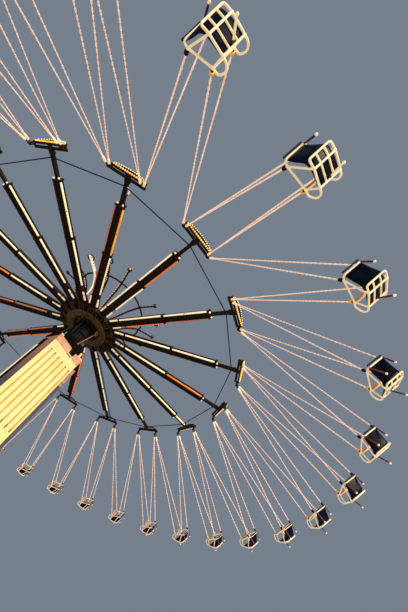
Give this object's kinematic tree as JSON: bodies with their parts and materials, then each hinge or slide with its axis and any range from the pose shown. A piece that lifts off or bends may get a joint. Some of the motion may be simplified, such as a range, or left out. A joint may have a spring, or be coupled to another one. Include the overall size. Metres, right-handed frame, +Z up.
{
  "type": "chair swing ride",
  "caption": "Fairground swing ride: clad square tower with a turning head of T-ended arms, each hook line carrying single chairs on four chains, flung outwards",
  "frame": {"origin": "centre of the underside of the foundation flange, on the head's axis", "axes": "+Z up along the head's axis, -Y out of the tower's broad front face, +X to the right of it"},
  "size_m": [24.418, 24.418, 13.04],
  "materials": {
    "grey_steel": "dark grey paint, weathered",
    "black_steel": "black paint, satin",
    "cream_cladding": "pale cream-yellow sheet cladding, satin",
    "salmon_cap": "salmon paint, satin",
    "rose_rod": "rose-coloured paint, satin",
    "brown_hub": "dark olive-brown paint, satin",
    "lamp_stems": "near-black stems with small lamps",
    "stay_cable": "dark steel wire rope",
    "dark_arm_steel": "near-black brown paint, light strips along the edges",
    "chair_frame": "pale cream tube frame, glossy navy shell, galvanised chains"
  },
  "bodies": {
    "tower": {"base_flange": "grey_steel", "tower_core": "black_steel", "front_cladding": "cream_cladding", "rear_cladding": "cream_cladding", "cable_duct": "grey_steel", "tower_cap": "salmon_cap", "hub_neck": "black_steel", "drive_housing": "black_steel", "torque_rod": "rose_rod"},
    "head": {"hub_drum": "brown_hub", "crown": "lamp_stems", "ring_stay": "stay_cable", "arm_01": "dark_arm_steel", "arm_02": "dark_arm_steel", "arm_03": "dark_arm_steel", "arm_04": "dark_arm_steel", "arm_05": "dark_arm_steel", "arm_06": "dark_arm_steel", "arm_07": "dark_arm_steel", "arm_08": "dark_arm_steel", "arm_09": "dark_arm_steel", "arm_10": "dark_arm_steel", "arm_11": "dark_arm_steel", "arm_12": "dark_arm_steel", "arm_13": "dark_arm_steel", "arm_14": "dark_arm_steel", "arm_15": "dark_arm_steel", "arm_16": "dark_arm_steel"},
    "swing_01": {"chair_01": "chair_frame"},
    "swing_02": {"chair_02": "chair_frame"},
    "swing_03": {"chair_03": "chair_frame"},
    "swing_04": {"chair_04": "chair_frame"},
    "swing_05": {"chair_05": "chair_frame"},
    "swing_06": {"chair_06": "chair_frame"},
    "swing_07": {"chair_07": "chair_frame"},
    "swing_08": {"chair_08": "chair_frame"},
    "swing_09": {"chair_09": "chair_frame"},
    "swing_10": {"chair_10": "chair_frame"},
    "swing_11": {"chair_11": "chair_frame"},
    "swing_12": {"chair_12": "chair_frame"},
    "swing_13": {"chair_13": "chair_frame"},
    "swing_14": {"chair_14": "chair_frame"},
    "swing_15": {"chair_15": "chair_frame"},
    "swing_16": {"chair_16": "chair_frame"},
    "swing_17": {"chair_17": "chair_frame"},
    "swing_18": {"chair_18": "chair_frame"},
    "swing_19": {"chair_19": "chair_frame"},
    "swing_20": {"chair_20": "chair_frame"},
    "swing_21": {"chair_21": "chair_frame"},
    "swing_22": {"chair_22": "chair_frame"},
    "swing_23": {"chair_23": "chair_frame"},
    "swing_24": {"chair_24": "chair_frame"},
    "swing_25": {"chair_25": "chair_frame"},
    "swing_26": {"chair_26": "chair_frame"},
    "swing_27": {"chair_27": "chair_frame"},
    "swing_28": {"chair_28": "chair_frame"},
    "swing_29": {"chair_29": "chair_frame"},
    "swing_30": {"chair_30": "chair_frame"},
    "swing_31": {"chair_31": "chair_frame"},
    "swing_32": {"chair_32": "chair_frame"}
  },
  "joints": [
    {"name": "head_spin", "type": "hinge", "parent": "tower", "child": "head", "pos_m": [0, 0, 10.85], "axis": [0, 0, 1], "continuous": true},
    {"name": "swing_01_hinge", "type": "hinge", "parent": "head", "child": "swing_01", "pos_m": [7.45029, 0.6086, 10.85], "axis": [0.0814, -0.9967, 0], "range_deg": [-53.3, 6]},
    {"name": "swing_02_hinge", "type": "hinge", "parent": "head", "child": "swing_02", "pos_m": [7.16483, 2.04366, 10.85], "axis": [0.2743, -0.9616, 0], "range_deg": [-53.3, 6]},
    {"name": "swing_03_hinge", "type": "hinge", "parent": "head", "child": "swing_03", "pos_m": [6.65027, 3.41337, 10.85], "axis": [0.4566, -0.8897, 0], "range_deg": [-53.3, 6]},
    {"name": "swing_04_hinge", "type": "hinge", "parent": "head", "child": "swing_04", "pos_m": [5.83737, 4.62996, 10.85], "axis": [0.6214, -0.7835, 0], "range_deg": [-53.3, 6]},
    {"name": "swing_05_hinge", "type": "hinge", "parent": "head", "child": "swing_05", "pos_m": [4.8378, 5.69849, 10.85], "axis": [0.7623, -0.6472, 0], "range_deg": [-53.3, 6]},
    {"name": "swing_06_hinge", "type": "hinge", "parent": "head", "child": "swing_06", "pos_m": [3.62122, 6.51139, 10.85], "axis": [0.8739, -0.486, 0], "range_deg": [-53.3, 6]},
    {"name": "swing_07_hinge", "type": "hinge", "parent": "head", "child": "swing_07", "pos_m": [2.28883, 7.11607, 10.85], "axis": [0.952, -0.3062, 0], "range_deg": [-53.3, 6]},
    {"name": "swing_08_hinge", "type": "hinge", "parent": "head", "child": "swing_08", "pos_m": [0.85377, 7.40152, 10.85], "axis": [0.9934, -0.1146, 0], "range_deg": [-53.3, 6]},
    {"name": "swing_09_hinge", "type": "hinge", "parent": "head", "child": "swing_09", "pos_m": [-0.6086, 7.45029, 10.85], "axis": [0.9967, 0.0814, 0], "range_deg": [-53.3, 6]},
    {"name": "swing_10_hinge", "type": "hinge", "parent": "head", "child": "swing_10", "pos_m": [-2.04366, 7.16483, 10.85], "axis": [0.9616, 0.2743, 0], "range_deg": [-53.3, 6]},
    {"name": "swing_11_hinge", "type": "hinge", "parent": "head", "child": "swing_11", "pos_m": [-3.41337, 6.65027, 10.85], "axis": [0.8897, 0.4566, 0], "range_deg": [-53.3, 6]},
    {"name": "swing_12_hinge", "type": "hinge", "parent": "head", "child": "swing_12", "pos_m": [-4.62996, 5.83737, 10.85], "axis": [0.7835, 0.6214, 0], "range_deg": [-53.3, 6]},
    {"name": "swing_13_hinge", "type": "hinge", "parent": "head", "child": "swing_13", "pos_m": [-5.69849, 4.8378, 10.85], "axis": [0.6472, 0.7623, 0], "range_deg": [-53.3, 6]},
    {"name": "swing_14_hinge", "type": "hinge", "parent": "head", "child": "swing_14", "pos_m": [-6.51139, 3.62122, 10.85], "axis": [0.486, 0.8739, 0], "range_deg": [-53.3, 6]},
    {"name": "swing_15_hinge", "type": "hinge", "parent": "head", "child": "swing_15", "pos_m": [-7.11607, 2.28883, 10.85], "axis": [0.3062, 0.952, 0], "range_deg": [-53.3, 6]},
    {"name": "swing_16_hinge", "type": "hinge", "parent": "head", "child": "swing_16", "pos_m": [-7.40152, 0.85377, 10.85], "axis": [0.1146, 0.9934, 0], "range_deg": [-53.3, 6]},
    {"name": "swing_17_hinge", "type": "hinge", "parent": "head", "child": "swing_17", "pos_m": [-7.45029, -0.6086, 10.85], "axis": [-0.0814, 0.9967, 0], "range_deg": [-53.3, 6]},
    {"name": "swing_18_hinge", "type": "hinge", "parent": "head", "child": "swing_18", "pos_m": [-7.16483, -2.04366, 10.85], "axis": [-0.2743, 0.9616, 0], "range_deg": [-53.3, 6]},
    {"name": "swing_19_hinge", "type": "hinge", "parent": "head", "child": "swing_19", "pos_m": [-6.65027, -3.41337, 10.85], "axis": [-0.4566, 0.8897, 0], "range_deg": [-53.3, 6]},
    {"name": "swing_20_hinge", "type": "hinge", "parent": "head", "child": "swing_20", "pos_m": [-5.83737, -4.62996, 10.85], "axis": [-0.6214, 0.7835, 0], "range_deg": [-53.3, 6]},
    {"name": "swing_21_hinge", "type": "hinge", "parent": "head", "child": "swing_21", "pos_m": [-4.8378, -5.69849, 10.85], "axis": [-0.7623, 0.6472, 0], "range_deg": [-53.3, 6]},
    {"name": "swing_22_hinge", "type": "hinge", "parent": "head", "child": "swing_22", "pos_m": [-3.62122, -6.51139, 10.85], "axis": [-0.8739, 0.486, 0], "range_deg": [-53.3, 6]},
    {"name": "swing_23_hinge", "type": "hinge", "parent": "head", "child": "swing_23", "pos_m": [-2.28883, -7.11607, 10.85], "axis": [-0.952, 0.3062, 0], "range_deg": [-53.3, 6]},
    {"name": "swing_24_hinge", "type": "hinge", "parent": "head", "child": "swing_24", "pos_m": [-0.85377, -7.40152, 10.85], "axis": [-0.9934, 0.1146, 0], "range_deg": [-53.3, 6]},
    {"name": "swing_25_hinge", "type": "hinge", "parent": "head", "child": "swing_25", "pos_m": [0.6086, -7.45029, 10.85], "axis": [-0.9967, -0.0814, 0], "range_deg": [-53.3, 6]},
    {"name": "swing_26_hinge", "type": "hinge", "parent": "head", "child": "swing_26", "pos_m": [2.04366, -7.16483, 10.85], "axis": [-0.9616, -0.2743, 0], "range_deg": [-53.3, 6]},
    {"name": "swing_27_hinge", "type": "hinge", "parent": "head", "child": "swing_27", "pos_m": [3.41337, -6.65027, 10.85], "axis": [-0.8897, -0.4566, 0], "range_deg": [-53.3, 6]},
    {"name": "swing_28_hinge", "type": "hinge", "parent": "head", "child": "swing_28", "pos_m": [4.62996, -5.83737, 10.85], "axis": [-0.7835, -0.6214, 0], "range_deg": [-53.3, 6]},
    {"name": "swing_29_hinge", "type": "hinge", "parent": "head", "child": "swing_29", "pos_m": [5.69849, -4.8378, 10.85], "axis": [-0.6472, -0.7623, 0], "range_deg": [-53.3, 6]},
    {"name": "swing_30_hinge", "type": "hinge", "parent": "head", "child": "swing_30", "pos_m": [6.51139, -3.62122, 10.85], "axis": [-0.486, -0.8739, 0], "range_deg": [-53.3, 6]},
    {"name": "swing_31_hinge", "type": "hinge", "parent": "head", "child": "swing_31", "pos_m": [7.11607, -2.28883, 10.85], "axis": [-0.3062, -0.952, 0], "range_deg": [-53.3, 6]},
    {"name": "swing_32_hinge", "type": "hinge", "parent": "head", "child": "swing_32", "pos_m": [7.40152, -0.85377, 10.85], "axis": [-0.1146, -0.9934, 0], "range_deg": [-53.3, 6]}
  ],
  "couplings": [
    {"joint": "swing_02_hinge", "follows": "swing_01_hinge", "ratio": 1},
    {"joint": "swing_03_hinge", "follows": "swing_01_hinge", "ratio": 1},
    {"joint": "swing_04_hinge", "follows": "swing_01_hinge", "ratio": 1},
    {"joint": "swing_05_hinge", "follows": "swing_01_hinge", "ratio": 1},
    {"joint": "swing_06_hinge", "follows": "swing_01_hinge", "ratio": 1},
    {"joint": "swing_07_hinge", "follows": "swing_01_hinge", "ratio": 1},
    {"joint": "swing_08_hinge", "follows": "swing_01_hinge", "ratio": 1},
    {"joint": "swing_09_hinge", "follows": "swing_01_hinge", "ratio": 1},
    {"joint": "swing_10_hinge", "follows": "swing_01_hinge", "ratio": 1},
    {"joint": "swing_11_hinge", "follows": "swing_01_hinge", "ratio": 1},
    {"joint": "swing_12_hinge", "follows": "swing_01_hinge", "ratio": 1},
    {"joint": "swing_13_hinge", "follows": "swing_01_hinge", "ratio": 1},
    {"joint": "swing_14_hinge", "follows": "swing_01_hinge", "ratio": 1},
    {"joint": "swing_15_hinge", "follows": "swing_01_hinge", "ratio": 1},
    {"joint": "swing_16_hinge", "follows": "swing_01_hinge", "ratio": 1},
    {"joint": "swing_17_hinge", "follows": "swing_01_hinge", "ratio": 1},
    {"joint": "swing_18_hinge", "follows": "swing_01_hinge", "ratio": 1},
    {"joint": "swing_19_hinge", "follows": "swing_01_hinge", "ratio": 1},
    {"joint": "swing_20_hinge", "follows": "swing_01_hinge", "ratio": 1},
    {"joint": "swing_21_hinge", "follows": "swing_01_hinge", "ratio": 1},
    {"joint": "swing_22_hinge", "follows": "swing_01_hinge", "ratio": 1},
    {"joint": "swing_23_hinge", "follows": "swing_01_hinge", "ratio": 1},
    {"joint": "swing_24_hinge", "follows": "swing_01_hinge", "ratio": 1},
    {"joint": "swing_25_hinge", "follows": "swing_01_hinge", "ratio": 1},
    {"joint": "swing_26_hinge", "follows": "swing_01_hinge", "ratio": 1},
    {"joint": "swing_27_hinge", "follows": "swing_01_hinge", "ratio": 1},
    {"joint": "swing_28_hinge", "follows": "swing_01_hinge", "ratio": 1},
    {"joint": "swing_29_hinge", "follows": "swing_01_hinge", "ratio": 1},
    {"joint": "swing_30_hinge", "follows": "swing_01_hinge", "ratio": 1},
    {"joint": "swing_31_hinge", "follows": "swing_01_hinge", "ratio": 1},
    {"joint": "swing_32_hinge", "follows": "swing_01_hinge", "ratio": 1}
  ]
}
